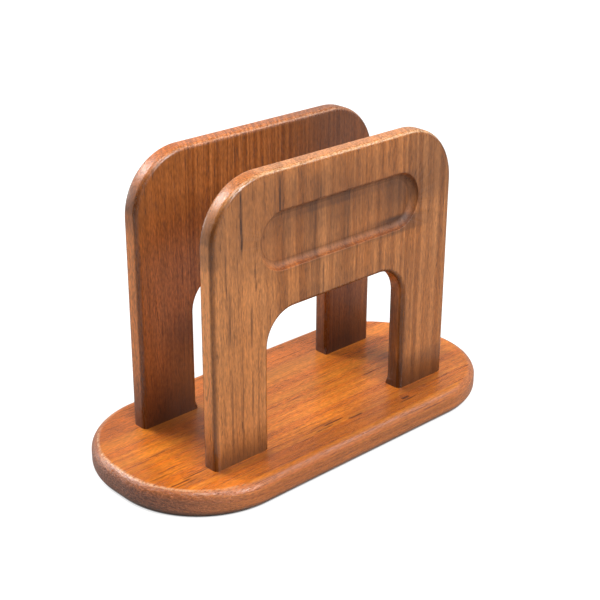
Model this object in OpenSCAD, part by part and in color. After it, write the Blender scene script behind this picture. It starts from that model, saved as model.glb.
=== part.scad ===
// Napkin holder: two arched upright panels screwed and glued on an oval base board.
// X runs along the base, Y from the front panel to the back panel, Z is up.
// The origin is the centre of the base's underside.

/* [Base] */
// Length of the base board
base_l = 190; // [170:1:240]
// Width of the base board
base_w = 89.5; // [82:0.5:120]
// Thickness of the base board
base_t = 11.5; // [10:0.5:16]
// Radius of the base's corners, seen from above
base_corner_r = 41; // [15:0.5:44]
// Radius of the rounded rim, top and bottom
base_rim_r = 4; // [1:0.5:4.5]

/* [Panels] */
// Width of a panel
panel_w = 132.5; // [115:0.5:160]
// Height of a panel above the base
panel_h = 117.5; // [112:0.5:150]
// Thickness of a panel
panel_t = 8.2; // [7:0.1:12]
// Room for napkins between the two panels
napkin_gap = 38; // [25:0.5:48]
// Radius of a panel's two upper corners
panel_corner_r = 26; // [10:0.5:40]
// Radius of the rounded edges of the panels
panel_edge_r = 2.2; // [0.5:0.1:3.2]

/* [Arch] */
// Width of each leg beside the arch
leg_w = 28; // [20:0.5:36]
// Height of the arch above the base
arch_h = 59; // [40:0.5:66]
// Radius of the arch's two upper corners
arch_corner_r = 14; // [4:0.5:20]
// Height above the base at which the rounding of the arch's inner edge stops
edge_stop_h = 4; // [2:0.5:12]
// Radius of the run-out where that rounding stops
edge_runout_r = 3; // [1:0.5:6]

/* [Recess] */
// Length of the finger recess in a panel's outer face
recess_l = 88; // [60:0.5:96]
// Height of the recess
recess_h = 24.5; // [14:0.5:28]
// Depth of the recess, which is also the radius of its cove
recess_depth = 3; // [1.5:0.1:3.5]
// Distance from a panel's top edge down to the middle of the recess
recess_drop = 29; // [25:0.5:31]
// Distance by which the recess lies off the panel's middle
recess_shift = 1.7; // [-3:0.1:3]

/* [Screws] */
// Diameter of the screws' shank and thread
screw_d = 3; // [2.5:0.1:3.5]
// Length of the screws
screw_l = 25; // [20:0.5:32]
// Diameter of the countersunk head
screw_head_d = 5.8; // [5:0.1:7]
// Depth of the head below the base's underside
screw_sink = 0.4; // [0.1:0.1:1]

/* [Hidden] */
$fn = 96;

// How far a cut runs past the surface that it opens
overrun = 1;
// Shortest straight stretch left between two corners of the base
corner_flat = 1;
// Room round a screw's shank in its hole through the base
shank_clear = 0.15;
// Space left beyond a screw's point in its pilot hole
pilot_extra = 1.5;

// The screw's own small sizes
head_rim = 0.3;
slot_w = 0.8;
slot_depth = 1.1;
thread_pitch = 1.4;
tip_l = 2.6;
core_share = 0.68;
crest_share = 0.5;

// Colours of the two teak boards and of the brass
base_colour = [0.72, 0.38, 0.15];
front_colour = [0.62, 0.38, 0.24];
back_colour = [0.52, 0.28, 0.16];
brass_colour = [0.78, 0.62, 0.30];

end_r = min(base_corner_r, base_w / 2 - corner_flat);
panel_y = napkin_gap / 2 + panel_t / 2;
leg_x = panel_w / 2 - leg_w / 2;
arch_half_w = panel_w / 2 - leg_w;
recess_y = panel_h - recess_drop;
cove_r = recess_depth;
shank_r = screw_d / 2;
core_r = shank_r * core_share;
head_r = screw_head_d / 2;
head_cone_h = head_r - shank_r;
plain_l = base_t - screw_sink;
thread_l = screw_l - plain_l - tip_l;
thread_turns = floor(thread_l / thread_pitch);

// Rounded rectangle, centred: the cross-section of a board with eased edges
module eased_section(w, t, r) {
    square([w - 2 * r, t], center = true);
    square([w, t - 2 * r], center = true);
    for (sx = [-1, 1], sy = [-1, 1])
        translate([sx * (w / 2 - r), sy * (t / 2 - r)])
            circle(r);
}

// Half of such a section, from the axis out to radius big_r
module eased_half_section(big_r, t, r) {
    translate([0, -t / 2])
        square([big_r - r, t]);
    translate([0, -(t / 2 - r)])
        square([big_r, t - 2 * r]);
    for (s = [-1, 1])
        translate([big_r - r, s * (t / 2 - r)])
            circle(r);
}

// Flat board with four round corners and an eased rim, centred on the origin
module eased_board(l, w, t, big_r, r) {
    for (sx = [-1, 1], sy = [-1, 1])
        translate([sx * (l / 2 - big_r), sy * (w / 2 - big_r), 0])
            rotate_extrude()
                eased_half_section(big_r, t, r);
    rotate([90, 0, 90])
        linear_extrude(height = l - 2 * big_r, center = true)
            eased_section(w, t, r);
    rotate([90, 0, 0])
        linear_extrude(height = w - 2 * big_r, center = true)
            eased_section(l, t, r);
}

// Straight slot with half-round ends
module stadium(l, h) {
    square([l - h, h], center = true);
    for (s = [-1, 1])
        translate([s * (l - h) / 2, 0])
            circle(h / 2);
}

// Outline of the arch, with its foot at the lower edge of the panel
module arch_outline() {
    translate([-arch_half_w, -overrun])
        square([2 * arch_half_w, arch_h - arch_corner_r + overrun]);
    translate([-(arch_half_w - arch_corner_r), 0])
        square([2 * (arch_half_w - arch_corner_r), arch_h]);
    for (s = [-1, 1])
        translate([s * (arch_half_w - arch_corner_r), arch_h - arch_corner_r])
            circle(arch_corner_r);
}

// Section of the wood that a rounding cutter takes off the edge at distance x
module edge_waste(x) {
    translate([x, panel_t / 2])
        mirror([0, 1])
            difference() {
                translate([-overrun, -overrun])
                    square(panel_edge_r + overrun);
                translate([panel_edge_r, panel_edge_r])
                    circle(panel_edge_r);
            }
}

// All that a rounding cutter takes off the arch's edge on the outer face of a flat panel,
// from the arch down to the height stop_y
module arch_edge_waste(stop_y) {
    rotate([90, 0, 90])
        linear_extrude(height = 2 * (arch_half_w - arch_corner_r), center = true)
            edge_waste(arch_h);
    for (s = [0, 1])
        mirror([s, 0, 0]) {
            translate([0, arch_h - arch_corner_r, 0])
                rotate([90, 0, 0])
                    linear_extrude(height = arch_h - arch_corner_r - stop_y)
                        edge_waste(arch_half_w);
            translate([arch_half_w - arch_corner_r, arch_h - arch_corner_r, 0])
                rotate_extrude()
                    edge_waste(arch_corner_r);
        }
}

// What the cutter also takes off where it leaves the edge above the foot
module runout_waste() {
    for (s = [0, 1])
        mirror([s, 0, 0])
            translate([arch_half_w - edge_runout_r, edge_stop_h, 0])
                rotate_extrude()
                    edge_waste(edge_runout_r);
}

// Recess with a flat floor and a coved wall, cut down from the plane z = 0
module recess_waste() {
    translate([0, 0, -recess_depth])
        linear_extrude(height = recess_depth + overrun)
            stadium(recess_l - 2 * cove_r, recess_h - 2 * cove_r);
    for (s = [-1, 1]) {
        translate([0, s * (recess_h / 2 - cove_r), 0])
            rotate([0, 90, 0])
                cylinder(r = cove_r, h = recess_l - recess_h, center = true);
        translate([s * (recess_l - recess_h) / 2, 0, 0])
            rotate_extrude()
                translate([recess_h / 2 - cove_r, 0])
                    circle(cove_r);
    }
}

// Panel lying flat, its foot along y = 0 and its outer face up
module flat_panel() {
    difference() {
        translate([0, (panel_h - panel_corner_r - overrun) / 2, 0])
            eased_board(panel_w, panel_h + panel_corner_r + overrun, panel_t, panel_corner_r, panel_edge_r);
        translate([-panel_w, -2 * panel_corner_r - overrun, -panel_t])
            cube([2 * panel_w, 2 * panel_corner_r + overrun, 2 * panel_t]);
        linear_extrude(height = panel_t + 2 * overrun, center = true)
            arch_outline();
        arch_edge_waste(-overrun);
        mirror([0, 0, 1]) {
            arch_edge_waste(edge_stop_h);
            runout_waste();
        }
        translate([recess_shift, recess_y, panel_t / 2])
            recess_waste();
        for (s = [-1, 1])
            translate([s * leg_x, -overrun, 0])
                rotate([-90, 0, 0])
                    cylinder(r = core_r, h = overrun + screw_l - plain_l + pilot_extra);
    }
}

// Panel stood on the base, on the front side
module standing_panel() {
    translate([0, -panel_y, base_t])
        rotate([90, 0, 0])
            flat_panel();
}

// Hole through the base with its countersink, opened from below
module screw_hole() {
    translate([0, 0, -overrun])
        cylinder(r = shank_r + shank_clear, h = base_t + 2 * overrun);
    cylinder(r1 = head_r + screw_sink + head_rim, r2 = shank_r, h = screw_sink + head_rim + head_cone_h);
    translate([0, 0, -overrun])
        cylinder(r = head_r + screw_sink + head_rim, h = overrun);
}

// Half outline of the thread and the point, from the start of the thread upwards
function thread_points() = concat(
    [[0, 0]],
    [for (i = [0:thread_turns - 1]) each [
        [core_r, i * thread_pitch],
        [shank_r, (i + crest_share) * thread_pitch]]],
    [[core_r, thread_turns * thread_pitch],
     [core_r, thread_l],
     [0, thread_l + tip_l]]);

// Countersunk slotted wood screw, head down, its flat head face at z = 0
module screw() {
    difference() {
        union() {
            cylinder(r = head_r, h = head_rim);
            translate([0, 0, head_rim])
                cylinder(r1 = head_r, r2 = shank_r, h = head_cone_h);
            translate([0, 0, head_rim])
                cylinder(r = shank_r, h = plain_l - head_rim);
            translate([0, 0, plain_l])
                rotate_extrude()
                    polygon(thread_points());
        }
        translate([-head_r - overrun, -slot_w / 2, -overrun])
            cube([2 * (head_r + overrun), slot_w, slot_depth + overrun]);
    }
}

module base() {
    color(base_colour)
        difference() {
            translate([0, 0, base_t / 2])
                eased_board(base_l, base_w, base_t, end_r, base_rim_r);
            for (sx = [-1, 1], sy = [-1, 1])
                translate([sx * leg_x, sy * panel_y, 0])
                    screw_hole();
        }
}

module front_panel() {
    color(front_colour)
        standing_panel();
}

module back_panel() {
    color(back_colour)
        rotate([0, 0, 180])
            standing_panel();
}

// Screw under one leg: side_x is -1 on the left, side_y is -1 at the front
module leg_screw(side_x, side_y) {
    color(brass_colour)
        translate([side_x * leg_x, side_y * panel_y, screw_sink])
            screw();
}

base();
front_panel();
back_panel();
leg_screw(-1, -1);  // screw_front_left
leg_screw(1, -1);  // screw_front_right
leg_screw(-1, 1);  // screw_back_left
leg_screw(1, 1);  // screw_back_right
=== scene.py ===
import sys

import logging
import math
from dataclasses import dataclass, field
from enum import Enum
from functools import partial, reduce
from typing import Callable, Iterable, Sequence, Union

import bmesh
import bpy
import numpy as np
from mathutils import Matrix, Vector
from mathutils.geometry import delaunay_2d_cdt


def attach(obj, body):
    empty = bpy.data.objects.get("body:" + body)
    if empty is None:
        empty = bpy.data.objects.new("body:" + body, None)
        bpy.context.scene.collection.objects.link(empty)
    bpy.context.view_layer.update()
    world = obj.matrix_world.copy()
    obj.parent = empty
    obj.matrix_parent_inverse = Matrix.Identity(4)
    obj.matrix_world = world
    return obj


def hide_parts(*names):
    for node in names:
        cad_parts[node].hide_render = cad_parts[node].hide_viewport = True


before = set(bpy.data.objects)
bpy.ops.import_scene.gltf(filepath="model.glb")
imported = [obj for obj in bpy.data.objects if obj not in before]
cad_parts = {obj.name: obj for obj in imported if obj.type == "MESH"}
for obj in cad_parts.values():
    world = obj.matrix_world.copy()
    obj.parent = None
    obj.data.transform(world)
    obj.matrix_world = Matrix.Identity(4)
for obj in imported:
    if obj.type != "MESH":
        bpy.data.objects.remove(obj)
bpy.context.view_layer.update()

log = logging.getLogger("napkin_holder")

Colour = tuple[float, float, float]
Range = tuple[float, float]
Size = tuple[float, float, float]
Socket = bpy.types.NodeSocket
Input = Union[float, Socket]
Mask = Union[float, np.ndarray]

MM = 0.001
WELD_MM = 0.002
FLAT_TOLERANCE = 1e-7
SMOOTH_LIMIT_DEG = 38.0
EDGE_LAYER = "rounded_edge"
COVE_LAYER = "cove_corner"


class Grain(Enum):
    """Which way the fibres of a board run."""

    ALONG_X = "x"
    ALONG_Z = "z"


class Place(Enum):
    """Which of the two upright panels is meant; the value turns it about Z."""

    FRONT = 1.0
    BACK = -1.0


def srgb(red: float, green: float, blue: float) -> Colour:
    """Turn a colour written from 0 to 255 into Blender's linear values.

    Args:
        red, green, blue: The colour as it looks on a screen.

    Returns:
        The same colour in linear light.
    """
    parts = np.array([red, green, blue]) / 255.0
    linear = np.where(parts <= 0.04045, parts / 12.92, ((parts + 0.055) / 1.055) ** 2.4)
    return tuple(float(part) for part in linear)


# Curves and surfaces


@dataclass(frozen=True)
class Path:
    """A flat curve: its points, and at each point the unit direction into the wood."""

    points: np.ndarray
    inward: np.ndarray

    def offset(self, inset: np.ndarray) -> np.ndarray:
        """Give the points moved into the wood: point plus inset times direction.

        Args:
            inset: One row of distances for the whole path, or one row for each point.

        Returns:
            A grid of points, one row for each point of the path.
        """
        inset = np.broadcast_to(np.atleast_2d(inset), (len(self.points), np.shape(inset)[-1]))
        return self.points[:, None, :] + self.inward[:, None, :] * inset[:, :, None]


def arc(centre: Sequence[float], radius: float, start: float, end: float, steps: int,
        hollow: bool = False) -> Path:
    """Make a round corner: centre plus radius times (cosine, sine) of an even run of angles.

    Args:
        centre: Middle of the circle.
        radius: Its radius.
        start, end: First and last angle in degrees.
        steps: Number of segments.
        hollow: True where the wood lies outside the circle.

    Returns:
        The corner, with the direction into the wood at each point.
    """
    angle = np.radians(np.linspace(start, end, steps + 1))
    outward = np.stack([np.cos(angle), np.sin(angle)], axis=1)
    points = np.asarray(centre, float) + radius * outward
    return Path(points, outward if hollow else -outward)


def straight(first: Sequence[float], last: Sequence[float], inward: Sequence[float],
             steps: int) -> Path:
    """Make a straight stretch with evenly spaced points, its two ends left out.

    Args:
        first, last: The two ends.
        inward: Direction into the wood.
        steps: Number of segments that it is split into.

    Returns:
        The points between the ends.
    """
    share = np.linspace(0.0, 1.0, steps + 1)[1:-1, None]
    points = np.asarray(first, float) * (1.0 - share) + np.asarray(last, float) * share
    return Path(points, np.broadcast_to(np.asarray(inward, float), points.shape).copy())


def joined(parts: Iterable[Path]) -> Path:
    """Put several stretches one after the other.

    Args:
        parts: The stretches in order.

    Returns:
        One path.
    """
    parts = list(parts)
    return Path(np.concatenate([part.points for part in parts]),
                np.concatenate([part.inward for part in parts]))


def circle(centre: Sequence[float], radius: float, steps: int) -> np.ndarray:
    """Give a closed ring of points: centre plus radius times (cosine, sine).

    Args:
        centre: Middle of the ring.
        radius: Its radius.
        steps: Number of points.

    Returns:
        The points, the first not repeated.
    """
    return arc(centre, radius, 0.0, 360.0, steps).points[:-1]


def quarter(radius: float, steps: int) -> tuple[np.ndarray, np.ndarray]:
    """Give a rounded edge's section, from the face it starts on to the edge itself.

    The inset is radius times (1 - sine), the depth radius times (1 - cosine).

    Args:
        radius: Radius of the rounding.
        steps: Number of segments.

    Returns:
        The insets and the depths.
    """
    angle = np.linspace(0.0, math.pi / 2.0, steps + 1)
    return radius * (1.0 - np.sin(angle)), radius * (1.0 - np.cos(angle))


def within(points: np.ndarray, loops: Sequence[np.ndarray]) -> np.ndarray:
    """Say which points lie inside an odd number of closed loops.

    A line from each point along u crosses a loop's edges an odd number of times where the
    point lies inside it, so all crossings together are odd in the region between them.

    Args:
        points: Points to test.
        loops: The closed loops.

    Returns:
        True for each point inside.
    """
    crossings = np.zeros(len(points), int)
    for loop in loops:
        first, last = loop[None, :, :], np.roll(loop, -1, axis=0)[None, :, :]
        u, v = points[:, None, 0], points[:, None, 1]
        spans = (first[..., 1] > v) != (last[..., 1] > v)
        rise = np.where(spans, last[..., 1] - first[..., 1], 1.0)
        meets = first[..., 0] + (v - first[..., 1]) * (last[..., 0] - first[..., 0]) / rise
        crossings += (spans & (u < meets)).sum(axis=1)
    return crossings % 2 == 1


def raised(flat: np.ndarray, height: Mask) -> np.ndarray:
    """Give flat points (x, y) a height."""
    return np.stack([flat[..., 0], flat[..., 1], np.broadcast_to(height, flat.shape[:-1])], axis=-1)


def rings(radius: np.ndarray, height: np.ndarray, columns: int) -> np.ndarray:
    """Stand rings one above the other: radius times (cosine, sine), and the height.

    Args:
        radius: Radius of each ring, or of each point of it.
        height: Height of each ring.
        columns: Number of points in a ring.

    Returns:
        Grid of points, one row for each ring.
    """
    angle = np.linspace(0.0, 2.0 * math.pi, columns, endpoint=False)
    radius = np.reshape(radius, (len(height), -1))
    flat = np.stack([radius * np.cos(angle), radius * np.sin(angle)], axis=-1)
    return raised(flat, np.reshape(height, (-1, 1)))


@dataclass
class Surfaces:
    """The surfaces of one piece, gathered in millimetres and joined into one closed mesh."""

    points: list[np.ndarray] = field(default_factory=list)
    faces: list[list[int]] = field(default_factory=list)
    edge: list[np.ndarray] = field(default_factory=list)
    cove: list[np.ndarray] = field(default_factory=list)
    count: int = 0

    def _keep(self, points: np.ndarray, faces: np.ndarray, edge: Mask, cove: Mask) -> None:
        """Store points, faces and the two masks of one surface.

        Args:
            points: Points, one to a row.
            faces: Indices into them, one face to a row.
            edge: How far each point lies on a rounded edge, from 0 to 1.
            cove: How far each point lies in the recess's inner corner, from 0 to 1.
        """
        self.points.append(points)
        self.faces.extend((faces + self.count).tolist())
        self.edge.append(np.broadcast_to(edge, len(points)).astype(float))
        self.cove.append(np.broadcast_to(cove, len(points)).astype(float))
        self.count += len(points)

    def grid(self, points: np.ndarray, round_rows: bool = False, round_columns: bool = False,
             edge: Mask = 0.0, cove: Mask = 0.0) -> None:
        """Add a surface given as a grid: each cell of four neighbours is one face.

        Args:
            points: Grid of points, rows by columns by three.
            round_rows: True where the last row joins the first.
            round_columns: True where the last column joins the first.
            edge, cove: Masks, one value or one for each column.
        """
        rows, columns = points.shape[:2]
        index = np.arange(rows * columns).reshape(rows, columns)
        if round_rows:
            index = np.vstack([index, index[:1]])
        if round_columns:
            index = np.hstack([index, index[:, :1]])
        faces = np.stack([index[:-1, :-1], index[1:, :-1], index[1:, 1:], index[:-1, 1:]], axis=-1)
        masks = [np.broadcast_to(mask, (rows, columns)).ravel() for mask in (edge, cove)]
        self._keep(points.reshape(-1, 3), faces.reshape(-1, 4), *masks)

    def flat(self, loops: Sequence[np.ndarray], place: Callable[[np.ndarray], np.ndarray]) -> None:
        """Fill the flat region between an outer loop and the holes in it with triangles.

        Args:
            loops: Closed rings of flat points, the outer one first.
            place: Turns flat points into points in space.
        """
        plane = np.concatenate(loops)
        ends = np.cumsum([len(loop) for loop in loops])
        runs = [np.arange(end - len(loop), end) for loop, end in zip(loops, ends)]
        edges = np.concatenate([np.stack([run, np.roll(run, -1)], axis=1) for run in runs])
        found = delaunay_2d_cdt([Vector(point) for point in plane.tolist()], edges.tolist(), [], 1,
                                FLAT_TOLERANCE)
        source = np.array([origin[0] for origin in found[3]])
        faces = source[np.array(found[2])]
        faces = faces[within(plane[faces].mean(axis=1), loops)]
        self._keep(place(plane), faces, 0.0, 0.0)

    def build(self, name: str) -> bpy.types.Object:
        """Join the surfaces into one mesh object at the origin, in metres.

        Points closer together than the weld distance become one, which also closes the
        poles, and the faces are turned outwards.

        Args:
            name: Name of the object.

        Returns:
            The new object, linked to the scene.
        """
        mesh = bpy.data.meshes.new(name)
        mesh.from_pydata((np.concatenate(self.points) * MM).tolist(), [], self.faces)
        for layer, values in ((EDGE_LAYER, self.edge), (COVE_LAYER, self.cove)):
            mask = mesh.attributes.new(layer, "FLOAT", "POINT")
            mask.data.foreach_set("value", np.concatenate(values))
        shell = bmesh.new()
        shell.from_mesh(mesh)
        bmesh.ops.remove_doubles(shell, verts=shell.verts, dist=WELD_MM * MM)
        bmesh.ops.recalc_face_normals(shell, faces=shell.faces)
        open_edges = sum(1 for edge in shell.edges if len(edge.link_faces) != 2)
        shell.to_mesh(mesh)
        shell.free()
        mesh.shade_smooth()
        mesh.set_sharp_from_angle(angle=math.radians(SMOOTH_LIMIT_DEG))
        piece = bpy.data.objects.new(name, mesh)
        bpy.context.scene.collection.objects.link(piece)
        log.info("%s: %d faces, %d open edges", name, len(mesh.polygons), open_edges)
        return piece


# Materials


class Graph:
    """The node tree of a material or of the world, with a short call for each kind of node."""

    def __init__(self, owner: Union[bpy.types.Material, bpy.types.World]) -> None:
        """Empty the tree of its owner.

        Args:
            owner: The material or the world.
        """
        self.owner = owner
        owner.use_nodes = True
        self.tree = owner.node_tree
        self.tree.nodes.clear()

    def node(self, kind: str, *values: object, **settings: object) -> bpy.types.Node:
        """Add a node, set its properties and feed its inputs in order.

        Args:
            kind: Type of the node, without its ShaderNode prefix.
            values: What the inputs get: output sockets, numbers, colours or vectors.
            settings: Properties by name.

        Returns:
            The node.
        """
        made = self.tree.nodes.new("ShaderNode" + kind)
        for key, value in settings.items():
            setattr(made, key, value)
        for socket, value in zip(made.inputs, values):
            self.feed(socket, value)
        return made

    def feed(self, socket: Socket, value: object) -> None:
        """Link a socket to another one, or set it to a plain value.

        Args:
            socket: The input socket.
            value: An output socket, a number, or a colour or vector.
        """
        if isinstance(value, Socket):
            self.tree.links.new(value, socket)
        elif isinstance(value, tuple) and socket.type == "RGBA":
            socket.default_value = (*value, 1.0)
        else:
            socket.default_value = value

    def math(self, operation: str, *values: Input, clamp: bool = False) -> Socket:
        """Work out one arithmetic step of a Math node, kept between 0 and 1 where clamp is true."""
        return self.node("Math", *values, operation=operation, use_clamp=clamp).outputs[0]

    def times(self, *factors: Input) -> Socket:
        """Multiply numbers one after the other."""
        return reduce(partial(self.math, "MULTIPLY"), factors)

    def sloped(self, value: Input, slope: Input, start: Input, clamp: bool = False) -> Socket:
        """Give value times slope plus start."""
        return self.math("MULTIPLY_ADD", value, slope, start, clamp=clamp)

    def swing(self, noise: Socket, amount: float, around: Input) -> Socket:
        """Let a noise, whose middle is 0.5, swing by an amount around a value."""
        return self.sloped(self.math("SUBTRACT", noise, 0.5), amount, around)

    def at_least(self, share: Socket, least: float) -> Socket:
        """Squeeze a share from 0 to 1 into least to 1."""
        return self.sloped(share, 1.0 - least, least)

    def length(self, first: Input, second: Input) -> Socket:
        """Give the root of the sum of two squares."""
        return self.math("SQRT", self.math("ADD", self.times(first, first), self.times(second, second)))

    def split(self, vector: Socket) -> tuple[Socket, ...]:
        """Take a vector apart into three numbers."""
        return tuple(self.node("SeparateXYZ", vector).outputs)

    def vector(self, *parts: Input) -> Socket:
        """Join three numbers into a vector."""
        return self.node("CombineXYZ", *parts).outputs[0]

    def stretched(self, vector: Socket, size: Size, shift: float = 0.0) -> Socket:
        """Multiply a vector by a size part by part, and add the shift to each part."""
        moved = (shift, shift, shift)
        return self.node("VectorMath", vector, size, moved, operation="MULTIPLY_ADD").outputs[0]

    def noise(self, place: Socket, detail: float, rough: float = 0.5, line: bool = False) -> Socket:
        """Add fractal noise.

        Args:
            place: Vector that it is read at, or a number where line is true.
            detail: Number of octaves.
            rough: Strength of each octave against the last.
            line: True for noise along a line.

        Returns:
            The noise, about 0.5 in the middle.
        """
        made = self.node("TexNoise", noise_dimensions="1D" if line else "3D")
        self.feed(made.inputs["W" if line else "Vector"], place)
        for key, value in (("Scale", 1.0), ("Detail", detail), ("Roughness", rough)):
            made.inputs[key].default_value = value
        return made.outputs["Fac"]

    def step(self, value: Socket, limits: Range) -> Socket:
        """Rise smoothly from 0 at the first limit to 1 at the second, or fall where the first is larger.

        Args:
            value: The number.
            limits: Where the share is 0, and where it is 1.

        Returns:
            The share, from 0 to 1.
        """
        start, full = (1.0, 0.0) if limits[0] > limits[1] else (0.0, 1.0)
        made = self.node("MapRange", value, min(limits), max(limits), start, full,
                         interpolation_type="SMOOTHSTEP", clamp=True)
        return made.outputs["Result"]

    def mix(self, share: Input, first: object, second: object, blend: str = "MIX") -> Socket:
        """Mix two colours.

        Args:
            share: How much of the second one shows.
            first, second: The colours.
            blend: Name of the blend.

        Returns:
            The mixed colour.
        """
        made = self.node("Mix", data_type="RGBA", blend_type=blend, clamp_factor=True)
        colour_inputs = [socket for socket in made.inputs if socket.type == "RGBA"]
        for socket, value in zip([made.inputs[0]] + colour_inputs, (share, first, second)):
            self.feed(socket, value)
        return next(socket for socket in made.outputs if socket.type == "RGBA")

    def scaled(self, vector: Socket, factor: Input) -> Socket:
        """Multiply a colour or a vector by one number."""
        idle = (0.0, 0.0, 0.0)
        return self.node("VectorMath", vector, idle, idle, factor, operation="SCALE").outputs[0]

    def attribute(self, layer: str) -> Socket:
        """Read one of the piece's own point masks."""
        return self.node("Attribute", attribute_name=layer).outputs["Fac"]

    def surface(self, colour: Socket, gloss: Socket, height: Socket, depth: float,
                plain: dict[str, float]) -> bpy.types.Material:
        """Join colour, roughness and relief in one shader and connect it to the output.

        Args:
            colour: Colour of the surface.
            gloss: Its roughness.
            height: Its relief.
            depth: What a height of 1 stands for, in millimetres.
            plain: Values for the shader's own sockets, by the socket's name.

        Returns:
            The finished material.
        """
        relief = self.node("Bump")
        relief.inputs["Distance"].default_value = depth * MM
        self.feed(relief.inputs["Height"], height)
        shader = self.node("BsdfPrincipled")
        for key, value in (("Base Color", colour), ("Roughness", gloss), ("Normal", relief.outputs[0])):
            self.feed(shader.inputs[key], value)
        for key, value in plain.items():
            shader.inputs[key].default_value = value
        return self.finish(shader.outputs[0])

    def finish(self, shader: Socket) -> Union[bpy.types.Material, bpy.types.World]:
        """Connect the shader to the output.

        Args:
            shader: The shader.

        Returns:
            The finished material or world.
        """
        kind = "OutputWorld" if isinstance(self.owner, bpy.types.World) else "OutputMaterial"
        self.tree.links.new(shader, self.node(kind).inputs["Surface"])
        return self.owner


@dataclass(frozen=True)
class Pattern:
    """One noise in the wood: waves per millimetre across, into and along the grain, and its place."""

    size: Size
    shift: float
    detail: float = 2.0
    rough: float = 0.5
    seeded: bool = True


SLOW_BEND = Pattern((0.020, 0.020, 0.005), 0.0)
QUICK_BEND = Pattern((0.16, 0.16, 0.030), 7.0, detail=3.0)
STRAND = Pattern((0.42, 0.42, 0.008), 11.0, detail=3.0, rough=0.6)
FINE_PORE = Pattern((3.4, 3.4, 0.22), 5.0)
CLOUD = Pattern((0.035, 0.035, 0.012), 17.0, detail=3.0)
SPECK = Pattern((0.9, 1.5, 0.55), 29.0, rough=0.6)
MOTTLE = Pattern((1.6, 1.6, 0.45), 37.0, detail=1.0)
LINE_BREAK = Pattern((0.7, 0.7, 0.06), 41.0)
STREAK_WANDER = Pattern((0.01, 0.01, 0.05), 31.0, seeded=False)
STREAK_BREAK = Pattern((1.6, 1.6, 0.12), 53.0, detail=3.0, seeded=False)

# Width in millimetres from which a placed mark is a soft dark patch, painted shade or darker wood,
# that no noise breaks up, and which doesn't show on the underside
WIDE_STREAK = 2.9
# How far slow noise moves a placed line sideways, in millimetres from side to side
WANDER = 1.6
# Shares of a placed line's length over which it starts and ends
STREAK_START = (-0.10, 0.12)
STREAK_END = (1.10, 0.80)
# Smallest level part of a normal, which keeps a division from running away on the flat tops
LEAST_LEVEL = 0.01


@dataclass(frozen=True)
class StreakOrShade:
    """One placed dark mark, drawn where the photographed board has it: a narrow one is a line in the
    grain, a wide one a patch of painted shade or of darker wood.

    Places are in millimetres: across the grain, and from start to end along it. The lean
    is how far the line moves sideways over its length.
    """

    across: float
    start: float
    end: float
    width: float
    strength: float
    lean: float = 0.0


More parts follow.
